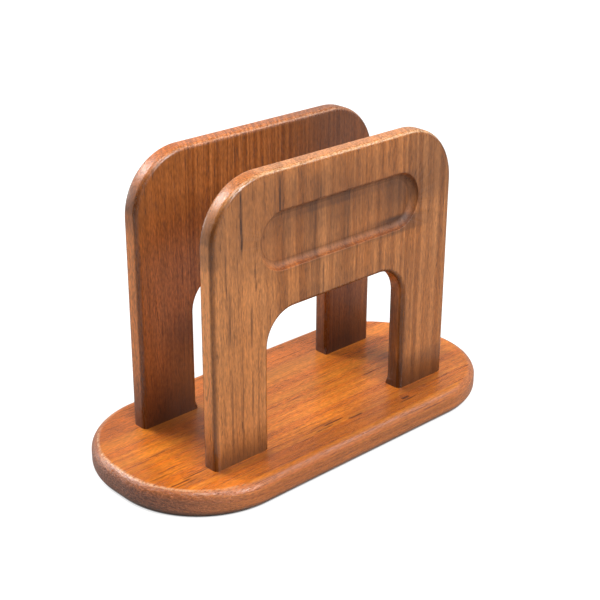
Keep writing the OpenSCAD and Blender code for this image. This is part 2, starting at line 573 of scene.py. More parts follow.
@dataclass(frozen=True, kw_only=True)
class TeakFinish:
    """Oiled teak of one board. What the boards share has a default.

    A range says where a share starts to rise and where it is full; it falls where the first
    number is the larger. A slope is the upward part of the surface's normal, from -1 to 1.
    Places are in millimetres, across the grain or along it.
    """

    name: str
    grain: Grain = Grain.ALONG_Z
    seed: float
    # Early wood, late wood, ring lines, warm clouds, and pores, dark lines and painted shade
    pale: Colour
    body: Colour
    deep: Colour
    tint: Colour
    pore: Colour
    # What end grain is multiplied by, the painted shade on the rims, and the painted highlight on their
    # crests
    end: Colour
    edge: Colour
    painted_highlight: Colour

    # Rings: the pith's two places across the grain, waves per millimetre, octaves and roughness of
    # their noise, and how far they bend
    pith: tuple[float, float]
    ring_scale: float
    band_noise: tuple[float, float] = (4.0, 0.62)
    bend: float
    quick_bend: float = 0.14
    early_wood: Range = (0.34, 0.60)
    late_wood: Range = (0.34, 0.64)
    light_side: Range
    light_strength: float = 0.80
    # Ring lines: how dark they are, where they fade, and on which side of the board they are calm
    ring_lines: Range = (0.52, 0.72)
    lines_in_ring: float = 3.1
    line_noise: tuple[float, float] = (3.0, 0.6)
    line_strength: float
    lively_clouds: Range = (0.36, 0.62)
    least_lively: float = 0.25
    line_breaks: Range = (0.36, 0.60)
    least_line: float = 0.2
    calm: Range = (500.0, 400.0)
    # Fibres, with the mottle and the strands as shares of their strength
    fibre: Pattern
    fibre_strength: float
    mottle_share: float = 1.25
    strand_share: float = 0.7
    tinted_clouds: Range = (0.38, 0.66)
    tint_strength: float
    # Pores: fine ones and longer dashes
    fine_pores: Range = (0.60, 0.70)
    dash: Pattern
    dashes: Range
    pore_strength: float
    # Placed marks, narrow grain lines and wide patches of painted shade and darker wood, how much noise
    # leaves of the narrow ones, and the slope from which wide ones show
    streaks: tuple[StreakOrShade, ...]
    streak_breaks: Range = (0.30, 0.60)
    least_streak: float = 0.45
    wide_slope: Range = (-0.9, -0.4)

    # Painted rim shade: share, slope, what is left where they don't face along X, and shaded shoulders
    edge_share: float
    edge_range: Range = (0.80, 0.30)
    least_rim: float = 0.45
    shoulder: Range = (2.0, 3.0)
    shoulder_share: float = 0.40
    # Painted light on the tops and on the left flank with its height, and painted shade on the lower
    # half of a rim
    top_slope: Range = (0.20, 0.85)
    painted_top_light: float
    flank: Range = (-65.95, -66.20)
    flank_slope: Range = (0.5, 0.1)
    flank_along: Range = (12.0, 46.0)
    painted_flank_light: float
    under_slope: Range = (-0.10, -0.75)
    under_shade: float = 0.65
    # Painted highlight on the crests: slopes, strength, share everywhere and towards the left, and its
    # specks
    crest_low: Range = (0.40, 0.66)
    crest_high: Range = (1.60, 1.30)
    highlight_strength: float
    highlight_flat: float
    highlight_left: float
    highlight_even: float = 0.6
    specks: Range = (0.36, 0.64)
    speckle: float = 0.6
    # End grain, and painted shade in the recess's inner corner and towards the feet
    end_strength: float = 0.6
    end_specks: float = 0.7
    proud: Range = (0.010, 0.001)
    painted_cove_shade: float = 0.30
    foot_strength: float
    foot_range: Range

    # Roughness, and what fibres, pores, rims and the recess add to it
    roughness: float = 0.32
    fibre_gloss: float = 0.20
    pore_gloss: float = 0.20
    edge_gloss: float
    recess_gloss: float = 0.24
    specular: float = 0.75
    refraction: float = 1.48
    # Relief: its depth in millimetres, and the height of fibres, pores and grit
    bump: float = 0.05
    fibre_relief: float = 0.9
    pore_relief: float = -0.8
    rim_grit: float = 0.35
    grit_relief: float = 1.8


class Teak:
    """Builds the procedural teak of one finish from the piece's Object coordinates."""

    def __init__(self, finish: TeakFinish) -> None:
        """Start the material and work out what several of its steps use.

        Args:
            finish: The finish.
        """
        self.finish = finish
        self.graph = graph = Graph(bpy.data.materials.new(finish.name))
        source = graph.node("TexCoord").outputs
        x, y, z = graph.split(graph.scaled(source["Object"], 1.0 / MM))
        order = {Grain.ALONG_X: (y, z, x), Grain.ALONG_Z: (x, y, z)}[finish.grain]
        self.across, self.depth, self.along = order
        self.place = graph.vector(*order)
        self.facing = graph.split(source["Normal"])
        self.rise = self.facing[2]
        part = self.facing[{Grain.ALONG_X: 0, Grain.ALONG_Z: 2}[finish.grain]]
        self.end = graph.times(part, part)
        self.edge, self.cove = graph.attribute(EDGE_LAYER), graph.attribute(COVE_LAYER)
        self.ring = self.rings()
        self.band = graph.noise(graph.times(self.ring, finish.ring_scale), *finish.band_noise, line=True)
        self.cloud, self.fibre = self.noise(CLOUD), self.noise(finish.fibre)
        self.pore = self.pores()
        self.speck = graph.math("SUBTRACT", graph.step(self.noise(SPECK), finish.specks), 0.5)

    def noise(self, pattern: Pattern) -> Socket:
        """Read one of the wood's noises.

        Args:
            pattern: The noise.

        Returns:
            Its value, about 0.5 in the middle.
        """
        shift = pattern.shift + (self.finish.seed if pattern.seeded else 0.0)
        place = self.graph.stretched(self.place, pattern.size, shift)
        return self.graph.noise(place, pattern.detail, rough=pattern.rough)

    def rings(self) -> Socket:
        """Work out the distance from the pith, bent by slow noise.

        The distance is the root of the two squared distances across the grain.

        Returns:
            The bent distance in millimetres.
        """
        graph, finish = self.graph, self.finish
        sides = [graph.math("SUBTRACT", part, pith)
                 for part, pith in zip((self.across, self.depth), finish.pith)]
        plain = graph.length(*sides)
        quick = graph.swing(self.noise(QUICK_BEND), finish.quick_bend * finish.bend, plain)
        return graph.swing(self.noise(SLOW_BEND), finish.bend, quick)

    def pores(self) -> Socket:
        """Draw fine pores and longer dashes, both in the early wood alone.

        Returns:
            Their darkness, from 0 to 1.
        """
        graph, finish = self.graph, self.finish
        fine = graph.step(self.noise(FINE_PORE), finish.fine_pores)
        dashes = graph.step(self.noise(finish.dash), finish.dashes)
        return graph.times(graph.math("MAXIMUM", fine, dashes), graph.step(self.band, finish.early_wood))

    def streak_or_shade(self, entry: StreakOrShade, wander: Socket) -> Socket:
        """Draw one placed mark, a grain line or a patch of painted shade: a bell across the grain times
        a soft window along it.

        Args:
            entry: The line.
            wander: Slow noise that bends all placed lines.

        Returns:
            The line's darkness.
        """
        graph = self.graph
        share = graph.math("DIVIDE", graph.math("SUBTRACT", self.along, entry.start),
                           entry.end - entry.start)
        middle = graph.sloped(share, entry.lean, graph.math("ADD", wander, entry.across))
        away = graph.math("DIVIDE", graph.math("SUBTRACT", self.across, middle), entry.width)
        bell = graph.math("EXPONENT", graph.times(away, away, -1.0))
        return graph.times(bell, graph.step(share, STREAK_START), graph.step(share, STREAK_END),
                           entry.strength)

    def streaks(self) -> Socket:
        """Add up the placed marks, whose wide ones are partly painted shade, and break up the narrow
        ones with stretched noise.

        Returns:
            Their darkness together, from 0 to 1.
        """
        graph, finish = self.graph, self.finish
        wander = graph.swing(self.noise(STREAK_WANDER), WANDER, 0.0)
        sums: dict[bool, Input] = {False: 0.0, True: 0.0}
        for entry in finish.streaks:
            wide = entry.width >= WIDE_STREAK
            sums[wide] = graph.math("ADD", sums[wide], self.streak_or_shade(entry, wander))
        left = graph.at_least(graph.step(self.noise(STREAK_BREAK), finish.streak_breaks),
                              finish.least_streak)
        shadows = graph.times(sums[True], graph.step(self.rise, finish.wide_slope))
        return graph.sloped(sums[False], left, shadows, clamp=True)

    def ring_lines(self) -> Socket:
        """Draw the dark lines between the rings, which fade in clouds, in breaks and on the calm side.

        Returns:
            Their darkness, from 0 to 1.
        """
        graph, finish = self.graph, self.finish
        place = graph.times(self.ring, finish.ring_scale * finish.lines_in_ring)
        lines = graph.step(graph.noise(place, *finish.line_noise, line=True), finish.ring_lines)
        lively = graph.times(graph.step(self.cloud, finish.lively_clouds),
                             graph.step(self.across, finish.calm))
        breaks = graph.step(self.noise(LINE_BREAK), finish.line_breaks)
        return graph.times(lines, finish.line_strength, graph.at_least(lively, finish.least_lively),
                           graph.at_least(breaks, finish.least_line))

    def painted_rim_shade(self) -> Socket:
        """Say where rims get painted shade: where upright, most where they face along X or are
        shoulders.

        Returns:
            The share, from 0 to 1.
        """
        graph, finish = self.graph, self.finish
        sideways = graph.at_least(graph.math("ABSOLUTE", self.facing[0]), finish.least_rim)
        shoulder = graph.step(self.rise, finish.shoulder)
        facing = graph.sloped(shoulder, finish.shoulder_share, sideways, clamp=True)
        return graph.times(self.edge, graph.step(self.rise, finish.edge_range), facing,
                           finish.edge_share)

    def leftward(self) -> Socket:
        """Give the normal's leftward part over the length of its level part.

        It stays 1 where a rim at the left end leans back towards the top.

        Returns:
            The share, from 0 to 1.
        """
        graph = self.graph
        level = graph.sloped(graph.times(self.rise, self.rise), -1.0, 1.0)
        level = graph.math("SQRT", graph.math("MAXIMUM", level, LEAST_LEVEL))
        left = graph.math("MAXIMUM", graph.times(self.facing[0], -1.0), 0.0)
        return graph.math("DIVIDE", left, level)

    def wood(self) -> Socket:
        """Colour the board: early and late wood, clouds, painted rim shade, ring lines, fibres, pores,
        and placed grain lines and patches of painted shade.

        Returns:
            The colour.
        """
        graph, finish = self.graph, self.finish
        light = graph.sloped(graph.step(self.across, finish.light_side), -finish.light_strength, 1.0)
        colour = graph.mix(graph.times(graph.step(self.band, finish.late_wood), light),
                           finish.pale, finish.body)
        clouds = graph.step(self.cloud, finish.tinted_clouds)
        colour = graph.mix(graph.times(clouds, finish.tint_strength), colour, finish.tint)
        # Painted shade on the rims
        colour = graph.mix(self.painted_rim_shade(), colour, finish.edge)
        colour = graph.mix(self.ring_lines(), colour, finish.deep)
        shade = graph.swing(self.fibre, finish.fibre_strength, 1.0)
        shade = graph.swing(self.noise(MOTTLE), finish.fibre_strength * finish.mottle_share, shade)
        strand = graph.swing(self.noise(STRAND), finish.fibre_strength * finish.strand_share, 1.0)
        colour = graph.scaled(colour, graph.times(shade, strand))
        colour = graph.mix(graph.times(self.pore, finish.pore_strength), colour, finish.pore)
        # Placed grain lines, and patches of painted shade and of darker wood
        return graph.mix(self.streaks(), colour, finish.pore)

    def ends_and_painted_light(self, colour: Socket) -> Socket:
        """Add end grain, and paint light and shade: lighter tops and left flank, shaded lower rims, a
        highlight on the crests, end-grain specks, and shade in the recess's corner and towards the feet.

        Args:
            colour: The colour of the wood.

        Returns:
            The colour with end grain, and with light and shade painted on.
        """
        graph, finish = self.graph, self.finish
        colour = graph.mix(graph.times(self.end, finish.end_strength), colour, finish.end,
                           blend="MULTIPLY")
        proud = graph.step(self.cove, finish.proud)
        # Painted light on up-facing surfaces and on the left flank, and painted shade on the lower half
        # of each rim
        top = graph.times(graph.step(self.rise, finish.top_slope), proud)
        flank = graph.times(graph.step(self.across, finish.flank),
                            graph.step(self.rise, finish.flank_slope),
                            graph.step(self.along, finish.flank_along))
        under = graph.times(self.edge, graph.step(self.rise, finish.under_slope))
        for share, amount in ((top, finish.painted_top_light), (flank, finish.painted_flank_light),
                              (under, -finish.under_shade)):
            colour = graph.scaled(colour, graph.sloped(share, amount, 1.0))
        # Painted highlight: a light, speckled band on the rims' crests, strongest where they face left
        crest = graph.times(graph.step(self.rise, finish.crest_low),
                            graph.step(self.rise, finish.crest_high),
                            graph.sloped(self.leftward(), finish.highlight_left, finish.highlight_flat))
        rim = graph.times(graph.math("MAXIMUM", self.edge, graph.times(top, finish.highlight_flat)), proud)
        specks = graph.sloped(self.speck, finish.speckle, finish.highlight_even)
        painted_highlight = graph.times(rim, crest, specks)
        colour = graph.mix(graph.math("MULTIPLY", painted_highlight, finish.highlight_strength, clamp=True),
                           colour, finish.painted_highlight)
        speckled = graph.times(self.end, self.speck)
        colour = graph.scaled(colour, graph.sloped(speckled, finish.speckle * finish.end_specks, 1.0))
        # Painted shade in the recess's inner corner
        colour = graph.mix(graph.times(self.cove, finish.painted_cove_shade), colour, finish.pore)
        # Darker towards the feet: painted shade, on the front panel with some soaked oil
        foot_shade = graph.times(graph.step(self.along, finish.foot_range), finish.foot_strength)
        return graph.mix(foot_shade, colour, finish.pore)

    def gloss(self) -> Socket:
        """Work out the roughness, which follows fibres, pores, rims and the recess.

        Returns:
            The roughness.
        """
        graph, finish = self.graph, self.finish
        gloss = graph.swing(self.fibre, finish.fibre_gloss, finish.roughness)
        recess = graph.step(self.cove, finish.proud[::-1])
        for share, amount in ((self.pore, finish.pore_gloss), (self.edge, finish.edge_gloss)):
            gloss = graph.sloped(share, amount, gloss)
        return graph.sloped(recess, finish.recess_gloss, gloss, clamp=True)

    def relief(self) -> Socket:
        """Work out the height of the fibres, the pores and the grit on rims and end grain.

        Returns:
            The height.
        """
        graph, finish = self.graph, self.finish
        fibres = graph.times(self.fibre, finish.fibre_relief)
        height = graph.sloped(self.pore, finish.pore_relief, fibres)
        grit = graph.times(graph.sloped(self.edge, finish.rim_grit, self.end), self.speck)
        return graph.sloped(grit, finish.speckle * finish.grit_relief, height)

    def material(self) -> bpy.types.Material:
        """Put colour, gloss and surface relief together."""
        plain = {"IOR": self.finish.refraction, "Specular IOR Level": self.finish.specular}
        return self.graph.surface(self.ends_and_painted_light(self.wood()), self.gloss(), self.relief(),
                                  self.finish.bump, plain)


@dataclass(frozen=True)
class BrassFinish:
    """Brass that has dulled a little: its bright and its dull colour."""

    name: str = "screw_brass_finish"
    bright: Colour = srgb(214, 178, 98)
    dull: Colour = srgb(140, 104, 52)
    roughness: float = 0.34
    dull_gloss: float = 0.22
    cloud_size: float = 0.9
    cloud_noise: tuple[float, float] = (5.0, 0.6)
    clouds: Range = (0.42, 0.68)
    turning: Size = (0.6, 0.6, 14.0)
    turning_octaves: float = 2.0
    bump: float = 0.01

    def material(self) -> bpy.types.Material:
        """Mix the two colours with clouds, and turn the gloss down where it is dull.

        Returns:
            The material.
        """
        graph = Graph(bpy.data.materials.new(self.name))
        place = graph.scaled(graph.node("TexCoord").outputs["Object"], 1.0 / MM)
        cloud = graph.noise(graph.scaled(place, self.cloud_size), *self.cloud_noise)
        share = graph.step(cloud, self.clouds)
        turned = graph.noise(graph.stretched(place, self.turning), self.turning_octaves)
        return graph.surface(graph.mix(share, self.bright, self.dull),
                             graph.sloped(share, self.dull_gloss, self.roughness),
                             turned, self.bump, {"Metallic": 1.0})


# The three boards. The numbers of each placed mark are across, start, end, width and strength.

BASE_TEAK = TeakFinish(
    name="base_teak_finish", grain=Grain.ALONG_X, seed=2.3,
    pale=srgb(230, 137, 44), body=srgb(214, 114, 30), deep=srgb(128, 60, 22),
    tint=srgb(210, 102, 18), pore=srgb(80, 36, 16), end=srgb(215, 215, 250),
    # The edge colour is painted shade on the rims, the next one a painted highlight on their crests
    edge=srgb(158, 102, 76), painted_highlight=srgb(255, 214, 172),
    pith=(60.0, -410.0), ring_scale=1.05, bend=1.8, light_side=(-400.0, -500.0),
    line_strength=0.20, fibre=Pattern((1.8, 1.8, 0.018), 3.0, detail=5.0, rough=0.70),
    fibre_strength=0.70, tint_strength=0.3, dash=Pattern((3.0, 3.0, 0.05), 23.0),
    dashes=(0.60, 0.66), pore_strength=0.75,
    edge_share=0.84, edge_range=(0.995, 0.94), shoulder=(0.55, 0.90), painted_top_light=0.0,
    flank=(-200.0, -300.0), painted_flank_light=0.0,
    crest_low=(0.87, 0.94), crest_high=(0.998, 0.985), highlight_strength=1.45, highlight_flat=0.06,
    highlight_left=0.94, speckle=1.1, end_strength=0.5, foot_strength=0.0, foot_range=(0.0, -1.0),
    roughness=0.33, edge_gloss=0.02,
    streaks=(
        # Wide patches: painted shadows of the legs and panels, a painted shaded strip along the front
        # and at the left end, and painted contact shade at the feet and along the back panel
        StreakOrShade(6.0, -66.0, -37.0, 15.0, 0.40),
        StreakOrShade(-36.0, -58.0, 62.0, 10.0, 0.36),
        StreakOrShade(-25.0, 6.0, 64.0, 14.0, 0.20),
        StreakOrShade(-16.0, 66.0, 84.0, 9.0, 0.24),
        StreakOrShade(-8.0, -99.0, -80.0, 36.0, 0.20),
        StreakOrShade(18.0, -65.0, -34.0, 6.0, 0.45),
        StreakOrShade(28.0, -99.0, -70.0, 9.0, 0.22),
        StreakOrShade(-26.0, -79.0, -60.0, 6.0, 0.24),
        StreakOrShade(22.5, -38.0, 36.0, 6.0, 0.36),
        StreakOrShade(-29.6, -67.0, -37.0, 3.0, 0.42),
        StreakOrShade(-29.6, 37.0, 67.0, 3.0, 0.30),
        # Narrow dark lines in the grain
        StreakOrShade(-23.6, -86.0, -76.0, 0.40, 0.9),
        StreakOrShade(-25.3, -85.0, -74.0, 0.35, 0.7),
        StreakOrShade(-22.2, -79.0, -66.0, 0.35, 0.8),
        StreakOrShade(-15.2, -88.0, -66.0, 0.30, 0.5),
        StreakOrShade(-12.4, -84.0, -70.0, 0.30, 0.5),
        StreakOrShade(-27.8, -16.0, -3.0, 0.45, 0.7),
        StreakOrShade(-29.0, -9.0, 2.0, 0.40, 0.9),
        StreakOrShade(-30.6, -15.0, -5.0, 0.40, 0.7),
        StreakOrShade(-31.2, 3.0, 11.0, 0.45, 0.9),
        StreakOrShade(-34.2, 32.5, 37.0, 0.70, 1.0),
        StreakOrShade(-36.0, 30.0, 41.0, 0.30, 0.6),
        StreakOrShade(-2.8, -6.0, 2.0, 0.35, 0.6),
        StreakOrShade(-20.4, -8.0, 14.0, 0.30, 0.5),
    ))

FRONT_TEAK = TeakFinish(
    name="front_teak_finish", seed=9.1,
    pale=srgb(204, 133, 75), body=srgb(156, 92, 40), deep=srgb(92, 48, 26),
    tint=srgb(186, 108, 42), pore=srgb(62, 30, 10), end=srgb(255, 212, 130),
    # The edge colour is painted shade on the rims, the next one a painted highlight on their crests
    edge=srgb(118, 64, 16), painted_highlight=srgb(255, 216, 166),
    pith=(-260.0, 90.0), ring_scale=0.20, bend=7.0, light_side=(-28.0, -46.0),
    line_strength=0.36, calm=(52.0, 14.0),
    fibre=Pattern((1.15, 1.15, 0.045), 3.0, detail=5.0, rough=0.70), fibre_strength=0.76,
    tint_strength=0.4, dash=Pattern((1.9, 1.9, 0.15), 23.0), dashes=(0.62, 0.68),
    pore_strength=0.60, edge_share=0.90, painted_top_light=0.40, painted_flank_light=0.90,
    highlight_strength=1.2, highlight_flat=0.50, highlight_left=-0.42, foot_strength=0.78,
    foot_range=(29.0, 10.0), edge_gloss=-0.10,
    streaks=(
        StreakOrShade(-8.0, 60.0, 136.0, 28.0, 0.12),
        StreakOrShade(56.0, 96.0, 140.0, 14.0, 0.28),
        # Painted shade at the right leg's foot
        StreakOrShade(52.0, 0.0, 27.0, 30.0, 0.36),
        StreakOrShade(2.0, 98.0, 126.0, 70.0, 0.15),
        StreakOrShade(2.0, 60.0, 78.0, 60.0, 0.10),
        StreakOrShade(38.4, 8.0, 56.0, 2.4, 0.55),
        StreakOrShade(50.0, 20.0, 128.0, 24.0, 0.12),
        # Painted shade in the recess, at its right end and along its lower cove
        StreakOrShade(35.0, 90.0, 112.0, 10.0, 0.42),
        StreakOrShade(36.0, 86.0, 93.0, 16.0, 0.45),
        StreakOrShade(-5.0, 86.5, 92.0, 30.0, 0.16),
        # Painted shade on the left side below the corner
        StreakOrShade(-65.5, 96.0, 120.0, 4.4, 0.36),
        # Painted shade on the recess floor below its upper rim
        StreakOrShade(0.0, 106.5, 113.0, 26.0, 0.25),
        StreakOrShade(0.0, 84.0, 124.0, 30.0, 0.13),
        StreakOrShade(-48.0, 88.0, 140.0, 18.0, 0.26),
        StreakOrShade(5.6, 84.0, 116.0, 1.10, 0.22),
        StreakOrShade(-25.6, 88.0, 124.0, 1.60, 0.25),
        StreakOrShade(-51.6, 101.0, 125.0, 0.60, 1.0, lean=-0.2),
        StreakOrShade(-32.4, 111.0, 127.0, 0.50, 0.80, lean=0.1),
        StreakOrShade(-13.2, 60.0, 126.0, 2.20, 0.24, lean=-0.4),
        StreakOrShade(-10.9, 86.0, 122.0, 0.55, 0.36),
        StreakOrShade(7.6, 90.0, 114.0, 0.50, 0.40),
        StreakOrShade(-9.1, 72.0, 84.0, 0.45, 0.50),
        StreakOrShade(-58.1, 64.0, 87.0, 0.60, 0.75),
        StreakOrShade(-59.5, 80.0, 104.0, 0.40, 0.50),
        StreakOrShade(-57.4, 16.0, 54.0, 0.45, 0.55),
        StreakOrShade(-51.9, 16.0, 64.0, 0.40, 0.50),
        StreakOrShade(-47.2, 60.0, 78.0, 0.50, 0.75),
        StreakOrShade(-46.9, 29.0, 48.0, 0.45, 0.55),
        StreakOrShade(-43.8, 18.0, 60.0, 0.40, 0.50),
    ))

BACK_TEAK = TeakFinish(
    name="back_teak_finish", seed=21.7,
    pale=srgb(196, 120, 62), body=srgb(158, 89, 38), deep=srgb(88, 44, 22),
    tint=srgb(174, 94, 34), pore=srgb(54, 24, 14), end=srgb(255, 214, 140),
    # The edge colour is painted shade on the rims, the next one a painted highlight on their crests
    edge=srgb(112, 58, 20), painted_highlight=srgb(246, 186, 140),
    pith=(240.0, -120.0), ring_scale=0.60, bend=6.0, light_side=(-34.0, -56.0),
    line_strength=0.18, fibre=Pattern((1.5, 1.5, 0.055), 3.0, detail=5.0, rough=0.70),
    fibre_strength=1.05, tint_strength=0.4, dash=Pattern((1.9, 1.9, 0.13), 23.0),
    dashes=(0.60, 0.66), pore_strength=0.60, edge_share=0.66, painted_top_light=0.70, painted_flank_light=0.60,
    highlight_strength=1.0, highlight_flat=0.40, highlight_left=-0.34, foot_strength=0.80,
    foot_range=(48.0, 10.0), edge_gloss=-0.08,
    streaks=(
        StreakOrShade(0.0, 96.0, 150.0, 90.0, 0.22),
        StreakOrShade(46.0, 86.0, 138.0, 40.0, 0.52),
        StreakOrShade(-56.0, 104.0, 150.0, 24.0, 0.20),
        # Painted shade on the lower legs, behind the front panel
        StreakOrShade(52.0, 0.0, 64.0, 24.0, 0.32),
        StreakOrShade(-42.0, 0.0, 60.0, 15.0, 0.58),
        # Painted shade on the left rounding below the corner
        StreakOrShade(-65.5, 98.0, 126.0, 4.4, 0.30),
    ))


# Pieces


def assign(piece: bpy.types.Object, finish: bpy.types.Material, node: str) -> None:
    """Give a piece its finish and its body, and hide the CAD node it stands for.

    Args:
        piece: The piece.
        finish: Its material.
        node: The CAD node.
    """
    piece.data.materials.append(finish)
    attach(piece, "root")
    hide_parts(node)


@dataclass
class BaseBoard:
    """The oval base board with its rounded rim and four countersunk screw holes."""

    length: float = 190.0
    width: float = 89.5
    thickness: float = 11.5
    corner_r: float = 41.0
    rim_r: float = 4.0
    screw_x: float = 52.25
    screw_y: float = 23.1
    hole_r: float = 1.65
    sink_r: float = 3.6
    sink_depth: float = 1.95
    support: float = 0.3
    turn_steps: int = 60
    side_steps: int = 20
    end_steps: int = 3
    rim_steps: int = 16
    hole_steps: int = 40

    def outline(self) -> Path:
        """Go once round the board seen from above: four round corners and the stretches between.

        Returns:
            The closed outline.
        """
        half_l, half_w = self.length / 2.0, self.width / 2.0
        across, up = half_l - self.corner_r, half_w - self.corner_r
        half = [
            arc((across, up), self.corner_r, 0.0, 90.0, self.turn_steps),
            straight((across, half_w), (-across, half_w), (0.0, -1.0), self.side_steps),
            arc((-across, up), self.corner_r, 90.0, 180.0, self.turn_steps),
            straight((-half_l, up), (-half_l, -up), (1.0, 0.0), self.end_steps)]
        return joined(half + [Path(-part.points, -part.inward) for part in half])

    def rim(self) -> tuple[np.ndarray, np.ndarray, np.ndarray]:
        """Give the section of the rim from the top face round to the underside.

        Returns:
            Insets, heights and the rounded-edge mask, one value for each point.
        """
        inset, drop = quarter(self.rim_r, self.rim_steps)
        inner = [self.rim_r + self.support]
        insets = np.concatenate([inner, inset, inset[::-1], inner])
        heights = np.concatenate([[self.thickness], self.thickness - drop, drop[::-1], [0.0]])
        ramp = np.sin(np.linspace(0.0, math.pi / 2.0, len(inset)))
        return insets, heights, np.concatenate([[0.0], ramp, np.ones(len(inset)), [0.0]])

    def build(self) -> bpy.types.Object:
        """Carry the rim's section round the outline, fill top and underside, and bore the holes.

        Returns:
            The board.
        """
        insets, heights, edge = self.rim()
        flat = self.outline().offset(insets)
        shell = Surfaces()
        shell.grid(raised(flat, heights), round_rows=True, edge=edge)
        holes = [(side * self.screw_x, end * self.screw_y) for side in (-1, 1) for end in (-1, 1)]
        for row, radius, level in ((0, self.hole_r, self.thickness), (-1, self.sink_r, 0.0)):
            mouths = [circle(hole, radius, self.hole_steps) for hole in holes]
            shell.flat([flat[:, row]] + mouths, partial(raised, height=level))
        wall = rings((self.sink_r, self.hole_r, self.hole_r), (0.0, self.sink_depth, self.thickness),
                     self.hole_steps)
        for hole in holes:
            shell.grid(wall + [*hole, 0.0], round_columns=True)
        return shell.build("base_board")

    def dress(self, piece: bpy.types.Object, finish: bpy.types.Material) -> None:
        """Give the board its finish and put it in the CAD node's place."""
        assign(piece, finish, "base")


